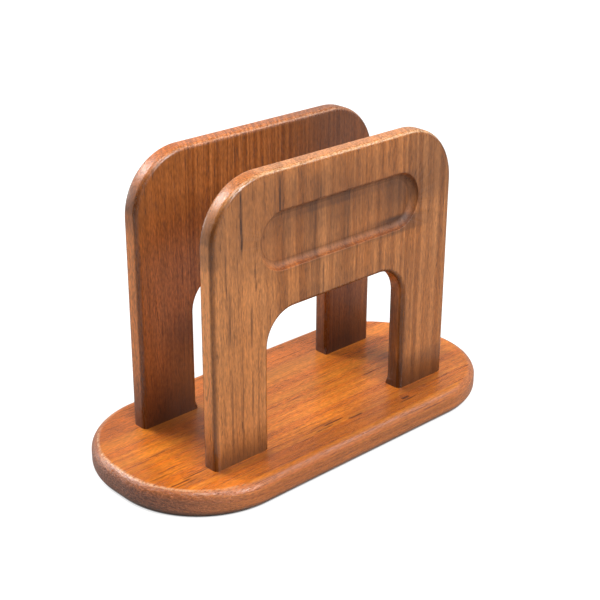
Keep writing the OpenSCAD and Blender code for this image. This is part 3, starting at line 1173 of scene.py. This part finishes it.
@dataclass
class ArchedPanel:
    """One upright panel: two legs, rounded edges, and a finger recess in its outer face.

    It is worked out in the front panel's place, with u across, v above the base and the
    depth measured from the outer face, and the back panel is the same turned half a turn.
    """

    place: Place
    foot_z: float = 11.5
    outer_y: float = -27.2
    width: float = 132.5
    height: float = 117.5
    thickness: float = 8.2
    corner_r: float = 26.0
    edge_r: float = 2.2
    leg: float = 28.0
    arch_h: float = 59.0
    arch_r: float = 14.0
    stop_h: float = 4.0
    runout_r: float = 3.0
    recess_l: float = 88.0
    recess_h: float = 24.5
    recess_depth: float = 3.0
    recess_u: float = 1.7
    recess_v: float = 88.5
    rim_ease: float = 0.40
    pilot_r: float = 1.02
    pilot_h: float = 15.4
    pilot_cone: float = 0.5
    support: float = 0.25
    corner_at: float = 0.95
    corner_spread: float = 0.45
    turn_steps: int = 48
    run_steps: int = 12
    leg_steps: int = 8
    stop_steps: int = 10
    top_steps: int = 10
    recess_steps: int = 14
    round_steps: int = 12
    cove_steps: int = 20
    ease_steps: int = 6
    pilot_steps: int = 24

    def space(self, flat: np.ndarray, depth: Mask) -> np.ndarray:
        """Stand flat points up in the panel's place.

        Args:
            flat: Points (u, v).
            depth: Their depth behind the outer face.

        Returns:
            Points in space.
        """
        u, v = flat[..., 0], flat[..., 1]
        y = self.outer_y + np.broadcast_to(depth, u.shape)
        upright = np.stack([u, y, v + self.foot_z], axis=-1)
        return upright * [self.place.value, self.place.value, 1.0]

    def outer_path(self) -> Path:
        """Go from the left foot over the two round corners to the right foot.

        Returns:
            The path.
        """
        half, top = self.width / 2.0, self.height
        inner, shoulder = half - self.corner_r, top - self.corner_r
        foot_left = Path(np.array([[-half, 0.0]]), np.array([[1.0, 0.0]]))
        foot_right = Path(np.array([[half, 0.0]]), np.array([[-1.0, 0.0]]))
        return joined([
            foot_left, straight((-half, 0.0), (-half, shoulder), (1.0, 0.0), self.run_steps),
            arc((-inner, shoulder), self.corner_r, 180.0, 90.0, self.turn_steps),
            straight((-inner, top), (inner, top), (0.0, -1.0), self.run_steps),
            arc((inner, shoulder), self.corner_r, 90.0, 0.0, self.turn_steps),
            straight((half, shoulder), (half, 0.0), (-1.0, 0.0), self.run_steps), foot_right])

    def arch_path(self) -> Path:
        """Go up one side of the arch, over its two corners and down the other side.

        Returns:
            The path.
        """
        half = self.width / 2.0 - self.leg
        inner, shoulder = half - self.arch_r, self.arch_h - self.arch_r
        foot_left = Path(np.array([[-half, 0.0]]), np.array([[-1.0, 0.0]]))
        stop_left = Path(np.array([[-half, self.stop_h]]), np.array([[-1.0, 0.0]]))
        rise = joined([
            foot_left,
            straight((-half, 0.0), (-half, self.stop_h), (-1.0, 0.0), self.stop_steps),
            stop_left,
            straight((-half, self.stop_h), (-half, shoulder), (-1.0, 0.0), self.leg_steps),
            arc((-inner, shoulder), self.arch_r, 180.0, 90.0, self.turn_steps // 2, hollow=True)])
        fall = Path(rise.points[::-1] * [-1.0, 1.0], rise.inward[::-1] * [-1.0, 1.0])
        top = straight((-inner, self.arch_h), (inner, self.arch_h), (0.0, 1.0), self.top_steps)
        return joined([rise, top, fall])

    def outer_section(self) -> tuple[np.ndarray, np.ndarray, np.ndarray]:
        """Give the section of the outer edge, from the outer face round to the inner one.

        Returns:
            Insets, depths and the rounded-edge mask.
        """
        inset, depth = quarter(self.edge_r, self.round_steps)
        wide = self.edge_r + self.support
        bell = np.sin(np.linspace(0.0, math.pi, len(inset)))
        return (np.concatenate([[wide], inset, inset[::-1], [wide]]),
                np.concatenate([[0.0], depth, self.thickness - depth[::-1], [self.thickness]]),
                np.concatenate([[0.0], bell, bell, [0.0]]))

    def arch_section(self, path: Path) -> tuple[np.ndarray, np.ndarray]:
        """Give the section of the arch's edge at each point of its path.

        On the outer face it is a quarter circle down to the foot. On the inner face it is
        one above the stop. Below, the cutter leaves the edge on a circle of the run-out
        radius about a point in the arch: at t below the stop and at distance rho from that
        point, the depth is r - root(r squared - (R - rho) squared), with r the edge radius
        and R the run-out radius plus r, and the inset is root(rho squared - t squared)
        minus the run-out radius.

        Args:
            path: The arch's path.

        Returns:
            Insets and depths, one row for each point of the path.
        """
        fall = np.clip(self.stop_h - path.points[:, 1], 0.0, None)[:, None]
        reach = self.runout_r + self.edge_r
        nearest = np.sqrt(self.runout_r ** 2 + fall ** 2)
        widest = np.arcsin(np.clip((reach - nearest) / self.edge_r, 0.0, 1.0))
        angle = widest * np.linspace(0.0, 1.0, self.round_steps + 1)[None, :]
        rho = reach - self.edge_r * np.sin(angle)
        inset = np.sqrt(rho ** 2 - fall ** 2) - self.runout_r
        depth = self.edge_r * (1.0 - np.cos(angle))
        sections = quarter(self.edge_r, self.round_steps)
        full, sunk = (np.tile(row, (len(path.points), 1)) for row in sections)
        zero = np.zeros_like(fall)
        insets = np.hstack([full[:, :1] + self.support, full, inset[:, ::-1],
                            inset[:, :1] + self.support])
        depths = np.hstack([zero, sunk, self.thickness - depth[:, ::-1], zero + self.thickness])
        return insets, depths

    def recess_path(self) -> Path:
        """Go once round the recess's rim: two half circles and the straight stretches between.

        Returns:
            The closed path.
        """
        radius, half = self.recess_h / 2.0, (self.recess_l - self.recess_h) / 2.0
        u, v = self.recess_u, self.recess_v
        return joined([
            arc((u + half, v), radius, -90.0, 90.0, 2 * self.turn_steps),
            straight((u + half, v + radius), (u - half, v + radius), (0.0, -1.0), self.recess_steps),
            arc((u - half, v), radius, 90.0, 270.0, 2 * self.turn_steps),
            straight((u - half, v - radius), (u + half, v - radius), (0.0, 1.0), self.recess_steps)])

    def recess_section(self) -> tuple[np.ndarray, np.ndarray, np.ndarray]:
        """Give the section of the recess's wall from the face to the floor.

        The cove is a quarter circle about a point at face level: inset r(1 - cos a) and
        depth r sin a. The rim is eased by a small round that meets the cove at the angle
        whose depth is the ease.

        Returns:
            Insets, depths and the inner-corner mask.
        """
        cove, ease = self.recess_depth, self.rim_ease
        first = math.asin(ease / cove)
        angle = np.linspace(first, math.pi / 2.0, self.cove_steps)
        end = math.pi / 2.0 - first
        small_r = ease / (1.0 - math.cos(end))
        round_angle = np.linspace(0.0, end, self.ease_steps + 1)[:-1]
        start = cove * (1.0 - math.cos(first)) - small_r * math.sin(end)
        insets = np.concatenate([[start - self.support], start + small_r * np.sin(round_angle),
                                 cove * (1.0 - np.cos(angle)), [cove + self.support]])
        depths = np.concatenate([[0.0], small_r * (1.0 - np.cos(round_angle)),
                                 cove * np.sin(angle), [cove]])
        share = np.clip(insets / cove, 0.0, 1.0)
        corner = np.exp(-((share - self.corner_at) / self.corner_spread) ** 2)
        corner = corner * (insets < cove + self.support / 2.0)
        return insets, depths, corner

    def foot_space(self, plane: np.ndarray) -> np.ndarray:
        """Stand points (u, depth) on the base's top."""
        return self.space(plane * [1.0, 0.0], plane[..., 1])

    def foot(self, outer_row: np.ndarray, arch_row: np.ndarray, side: float, shell: Surfaces) -> None:
        """Close one leg's foot and bore its pilot hole, whose end is a shallow cone.

        Args:
            outer_row, arch_row: The end sections of the outer edge and the arch's edge, as
                points (u, depth).
            side: -1 for the left leg, 1 for the right one.
            shell: The panel's surfaces.
        """
        middle = np.array([side * (self.width / 2.0 - self.leg / 2.0), self.thickness / 2.0])
        mouth = circle(middle, self.pilot_r, self.pilot_steps)
        shell.flat([np.concatenate([outer_row, arch_row[::-1]]), mouth], self.foot_space)
        levels = (0.0, self.pilot_h - self.pilot_cone, self.pilot_h)
        bore = rings((self.pilot_r, self.pilot_r, 0.0), levels, self.pilot_steps)
        shell.grid(self.space(bore[..., ::2] + [middle[0], 0.0], bore[..., 1] + middle[1]),
                   round_columns=True)

    def build(self) -> bpy.types.Object:
        """Carry both edge sections along their paths and fill the faces, recess and feet.

        Returns:
            The panel.
        """
        shell = Surfaces()
        outer, arch = self.outer_path(), self.arch_path()
        outer_inset, outer_depth, outer_mask = self.outer_section()
        outer_flat = outer.offset(outer_inset)
        shell.grid(self.space(outer_flat, outer_depth), edge=outer_mask)
        arch_inset, arch_depth = self.arch_section(arch)
        arch_flat = arch.offset(arch_inset)
        shell.grid(self.space(arch_flat, arch_depth), edge=outer_mask)

        rim_inset, rim_depth, corner = self.recess_section()
        rim_flat = self.recess_path().offset(rim_inset)
        shell.grid(self.space(rim_flat, rim_depth), round_rows=True, cove=corner)
        front, back = (np.concatenate([outer_flat[:, row], arch_flat[::-1, row]]) for row in (0, -1))
        for loops, depth in (([front, rim_flat[:, 0]], 0.0), ([back], self.thickness),
                             ([rim_flat[:, -1]], self.recess_depth)):
            shell.flat(loops, partial(self.space, depth=depth))

        for side, row in ((-1.0, 0), (1.0, -1)):
            outer_row = np.stack([outer_flat[row, :, 0], outer_depth], axis=1)
            arch_row = np.stack([arch_flat[row, :, 0], arch_depth[row]], axis=1)
            self.foot(outer_row, arch_row, side, shell)
        return shell.build("panel_" + self.place.name.lower())

    def dress(self, piece: bpy.types.Object, finish: bpy.types.Material) -> None:
        """Give the panel its finish and put it in the CAD node's place."""
        name = self.place.name.lower()
        assign(piece, finish, name + "_panel")


@dataclass
class LegScrew:
    """A countersunk slotted wood screw, up through the base into one leg."""

    x: float
    y: float
    node: str
    sink: float = 0.4
    radius: float = 1.5
    core_share: float = 0.68
    head_r: float = 2.9
    head_rim: float = 0.3
    head_ease: float = 0.1
    plain_l: float = 11.1
    thread_l: float = 11.3
    tip_l: float = 2.6
    pitch: float = 1.4
    ridge_half: float = 0.34
    start_share: float = 0.5
    slot_w: float = 0.8
    slot_depth: float = 1.1
    cut_past: float = 1.0
    columns: int = 40
    thread_rows: int = 200

    def thread(self) -> tuple[np.ndarray, np.ndarray]:
        """Give the thread and the tip: a radius that depends on height and angle.

        The radius is the core plus a ridge whose crest climbs one pitch for each turn. The
        ridge fades in over the first turn, and the whole tapers to the point along the tip.

        Returns:
            The radius of each point, one row for each height, and the heights.
        """
        length = self.thread_l + self.tip_l
        height = np.linspace(0.0, length, self.thread_rows)[:, None]
        turn = np.linspace(0.0, 1.0, self.columns, endpoint=False)[None, :]
        phase = np.mod(height / self.pitch - turn, 1.0)
        ridge = np.clip(1.0 - np.abs(phase - 0.5) / self.ridge_half, 0.0, 1.0)
        fade = np.clip(height / self.pitch, 0.0, 1.0)
        start = np.clip(1.0 - height / (self.start_share * self.pitch), 0.0, 1.0)
        core = self.radius * self.core_share
        radius = core + (self.radius - core) * np.maximum(ridge * fade, start)
        radius = radius * np.clip((length - height) / self.tip_l, 0.0, 1.0)
        return radius, height[:, 0] + self.plain_l

    def head(self) -> tuple[np.ndarray, np.ndarray]:
        """Give the rings of the head and the plain shank.

        Returns:
            Their radii and their heights.
        """
        cone_end = self.head_rim + self.head_r - self.radius
        radii = [0.0, self.head_r - self.head_ease, self.head_r, self.head_r, self.radius, self.radius]
        heights = [0.0, 0.0, self.head_ease, self.head_rim, cone_end, self.plain_l]
        return np.array(radii), np.array(heights)

    def cut_slot(self, piece: bpy.types.Object) -> None:
        """Cut the driver slot across the head with a bar that is then thrown away.

        Args:
            piece: The screw.
        """
        size = (2.0 * (self.head_r + self.cut_past), self.slot_w, self.slot_depth + self.cut_past)
        middle = (self.x, self.y, self.sink + (self.slot_depth - self.cut_past) / 2.0)
        shape = bmesh.new()
        stand = Matrix.LocRotScale(Vector(middle) * MM, None, Vector(size) * MM)
        bmesh.ops.create_cube(shape, size=1.0, matrix=stand)
        bar = bpy.data.meshes.new("slot_bar")
        shape.to_mesh(bar)
        shape.free()
        cutter = bpy.data.objects.new("slot_bar", bar)
        bpy.context.scene.collection.objects.link(cutter)
        cut = piece.modifiers.new("slot", "BOOLEAN")
        cut.operation = "DIFFERENCE"
        cut.solver = "EXACT"
        cut.object = cutter
        shaped = piece.evaluated_get(bpy.context.evaluated_depsgraph_get())
        piece.data = bpy.data.meshes.new_from_object(shaped)
        piece.modifiers.clear()
        bpy.data.objects.remove(cutter)

    def build(self) -> bpy.types.Object:
        """Join head, shank and thread, stand the screw in its hole and cut its slot.

        Returns:
            The screw.
        """
        rows = np.concatenate([rings(*part, self.columns) for part in (self.head(), self.thread())])
        shell = Surfaces()
        shell.grid(rows + [self.x, self.y, self.sink], round_columns=True)
        piece = shell.build(self.node + "_brass")
        self.cut_slot(piece)
        return piece

    def dress(self, piece: bpy.types.Object, finish: bpy.types.Material) -> None:
        """Give the screw its finish and put it in the CAD node's place."""
        piece.data.materials.clear()
        assign(piece, finish, self.node)


# Studio


@dataclass(frozen=True)
class Lamp:
    """One soft square lamp that looks at the holder's middle."""

    name: str
    at: tuple[float, float, float]
    side: float
    power: float
    colour: Colour

    def hang(self, middle: Sequence[float]) -> None:
        """Hang the lamp.

        Args:
            middle: Where it looks.
        """
        light = bpy.data.lights.new(self.name, "AREA")
        light.size = self.side
        light.energy = self.power
        light.color = self.colour
        lamp = bpy.data.objects.new(self.name, light)
        lamp.location = self.at
        lamp.rotation_euler = (Vector(self.at) - Vector(middle)).to_track_quat("Z", "Y").to_euler()
        bpy.context.scene.collection.objects.link(lamp)


WARM_WHITE = (1.0, 0.985, 0.96)
SOFT_WHITE = (1.0, 0.99, 0.98)
LAMPS = (
    Lamp("top_lamp", (-0.20, -0.34, 1.12), side=0.34, power=6.0, colour=WARM_WHITE),
    Lamp("front_lamp", (0.20, -1.02, 0.74), side=0.36, power=9.0, colour=SOFT_WHITE),
    Lamp("right_lamp", (0.72, -0.46, 0.80), side=0.32, power=1.9, colour=WARM_WHITE),
    Lamp("back_lamp", (-0.38, 0.83, 0.86), side=0.40, power=9.0, colour=SOFT_WHITE),
    Lamp("rim_lamp", (-0.55, 1.15, 0.24), side=0.40, power=3.0, colour=SOFT_WHITE),
)


@dataclass
class Studio:
    """Floor, soft lamps, white surroundings and the camera, in metres."""

    middle: tuple[float, float, float] = (0.0, 0.0, 0.06)
    floor_r: float = 4.0
    floor_steps: int = 96
    floor_colour: Colour = srgb(160, 160, 159)
    glow: float = 0.84
    glow_far: float = 0.06
    far: Range = (0.05, 0.60)
    base_straight: tuple[float, float] = (0.054, 0.00375)
    base_corner_r: float = 0.041
    contact: Range = (-0.0026, -0.0014)
    mirrored_floor: float = 0.12
    world_light: float = 0.14
    mirrored_walls: float = 0.65
    ceiling: float = 0.08
    ceiling_rise: Range = (0.42, 0.80)
    left_range: Range = (-0.60, -0.15)
    left_share: float = 0.15
    camera_at: tuple[float, float, float] = (-0.34797, -0.37491, 0.28358)
    camera_azimuth: float = -43.1687
    camera_elevation: float = 23.8871
    camera_roll: float = 0.3037
    camera_lens: float = 79.34
    camera_clip: float = 0.01

    def shown_rays(self, graph: Graph, mirrored: Input) -> Socket:
        """Give 1 for rays from the camera and through glass, a share for gloss, and 0 for the rest.

        Args:
            graph: The tree that it is for.
            mirrored: The share for glossy rays.

        Returns:
            The share.
        """
        rays = graph.node("LightPath").outputs
        seen = graph.math("MAXIMUM", rays["Is Camera Ray"], graph.times(rays["Is Glossy Ray"], mirrored))
        return graph.math("MAXIMUM", seen, rays["Is Transmission Ray"])

    def distance_from_base(self, graph: Graph) -> Socket:
        """Work out how far a point of the floor lies outside the base's outline.

        It is the length of what is left of |x| and |y| past the straight stretches, less the
        corner radius.

        Args:
            graph: The floor's tree.

        Returns:
            The distance in metres.
        """
        place = graph.split(graph.node("TexCoord").outputs["Object"])
        past = [graph.math("MAXIMUM", graph.math("SUBTRACT", graph.math("ABSOLUTE", part), half), 0.0)
                for part, half in zip(place, self.base_straight)]
        return graph.math("SUBTRACT", graph.length(*past), self.base_corner_r)

    def floor(self) -> None:
        """Lay a round pale floor that keeps the holder's shadow."""
        mesh = bpy.data.meshes.new("floor")
        ring = circle((0.0, 0.0), self.floor_r, self.floor_steps)
        mesh.from_pydata(raised(ring, 0.0).tolist(), [], [list(range(len(ring)))])
        floor = bpy.data.objects.new("floor", mesh)
        bpy.context.scene.collection.objects.link(floor)
        graph = Graph(bpy.data.materials.new("floor_paper"))
        plain, glow, both = (graph.node(kind) for kind in ("BsdfDiffuse", "Emission", "AddShader"))
        graph.feed(plain.inputs["Color"], self.floor_colour)
        away = self.distance_from_base(graph)
        level = graph.sloped(graph.step(away, self.contact), self.glow,
                             graph.times(graph.step(away, self.far), self.glow_far))
        seen = self.shown_rays(graph, self.mirrored_floor)
        graph.feed(glow.inputs["Strength"], graph.times(seen, level))
        for socket, shader in zip(both.inputs, (plain, glow)):
            graph.feed(socket, shader.outputs[0])
        mesh.materials.append(graph.finish(both.outputs[0]))

    def surroundings(self) -> None:
        """Make the world white to look at and dimmer as a light.

        Gloss mirrors walls that darken towards the ceiling and towards the left.
        """
        graph = Graph(bpy.data.worlds.new("surroundings"))
        x, _, up = graph.split(graph.node("TexCoord").outputs["Generated"])
        walls = graph.sloped(graph.step(up, self.ceiling_rise), self.ceiling - self.mirrored_walls,
                             self.mirrored_walls)
        left = graph.at_least(graph.step(x, self.left_range), self.left_share)
        glossy = graph.node("LightPath").outputs["Is Glossy Ray"]
        dimmed = graph.times(glossy, graph.sloped(left, -1.0, 1.0))
        light = graph.times(self.world_light, graph.sloped(dimmed, -1.0, 1.0))
        level = graph.math("MAXIMUM", self.shown_rays(graph, graph.times(walls, left)), light)
        shader = graph.node("Background")
        graph.feed(shader.inputs["Strength"], level)
        graph.feed(shader.inputs["Color"], (1.0, 1.0, 1.0))
        bpy.context.scene.world = graph.finish(shader.outputs[0])

    def camera(self) -> None:
        """Place the camera by its position, the direction it looks along and its roll."""
        azimuth, elevation = math.radians(self.camera_azimuth), math.radians(self.camera_elevation)
        back = Vector((math.sin(azimuth) * math.cos(elevation), -math.cos(azimuth) * math.cos(elevation),
                       math.sin(elevation)))
        right = Vector((0.0, 0.0, 1.0)).cross(back).normalized()
        upright = Matrix((right, back.cross(right), back)).transposed().to_4x4()
        data = bpy.data.cameras.new("camera")
        data.lens = self.camera_lens
        data.clip_start = self.camera_clip
        camera = bpy.data.objects.new("camera", data)
        roll = Matrix.Rotation(math.radians(self.camera_roll), 4, "Z")
        camera.matrix_world = Matrix.Translation(self.camera_at) @ upright @ roll
        bpy.context.scene.collection.objects.link(camera)
        bpy.context.scene.camera = camera

    def build(self) -> None:
        """Set up the whole studio."""
        self.floor()
        self.surroundings()
        for lamp in LAMPS:
            lamp.hang(self.middle)
        self.camera()
        bpy.context.scene.view_settings.view_transform = "Standard"


def main() -> None:
    """Build the studio and every piece of the holder, and report each one."""
    logging.basicConfig(level=logging.INFO, format="%(name)s %(message)s", stream=sys.stdout)
    Studio().build()
    board = BaseBoard()
    board.dress(board.build(), Teak(BASE_TEAK).material())
    for place, finish in ((Place.FRONT, FRONT_TEAK), (Place.BACK, BACK_TEAK)):
        panel = ArchedPanel(place=place)
        panel.dress(panel.build(), Teak(finish).material())
    brass = BrassFinish().material()
    for end, y in (("front", -board.screw_y), ("back", board.screw_y)):
        for side, x in (("left", -board.screw_x), ("right", board.screw_x)):
            screw = LegScrew(x=x, y=y, node="screw_%s_%s" % (end, side))
            screw.dress(screw.build(), brass)


if __name__ == "__main__":
    main()
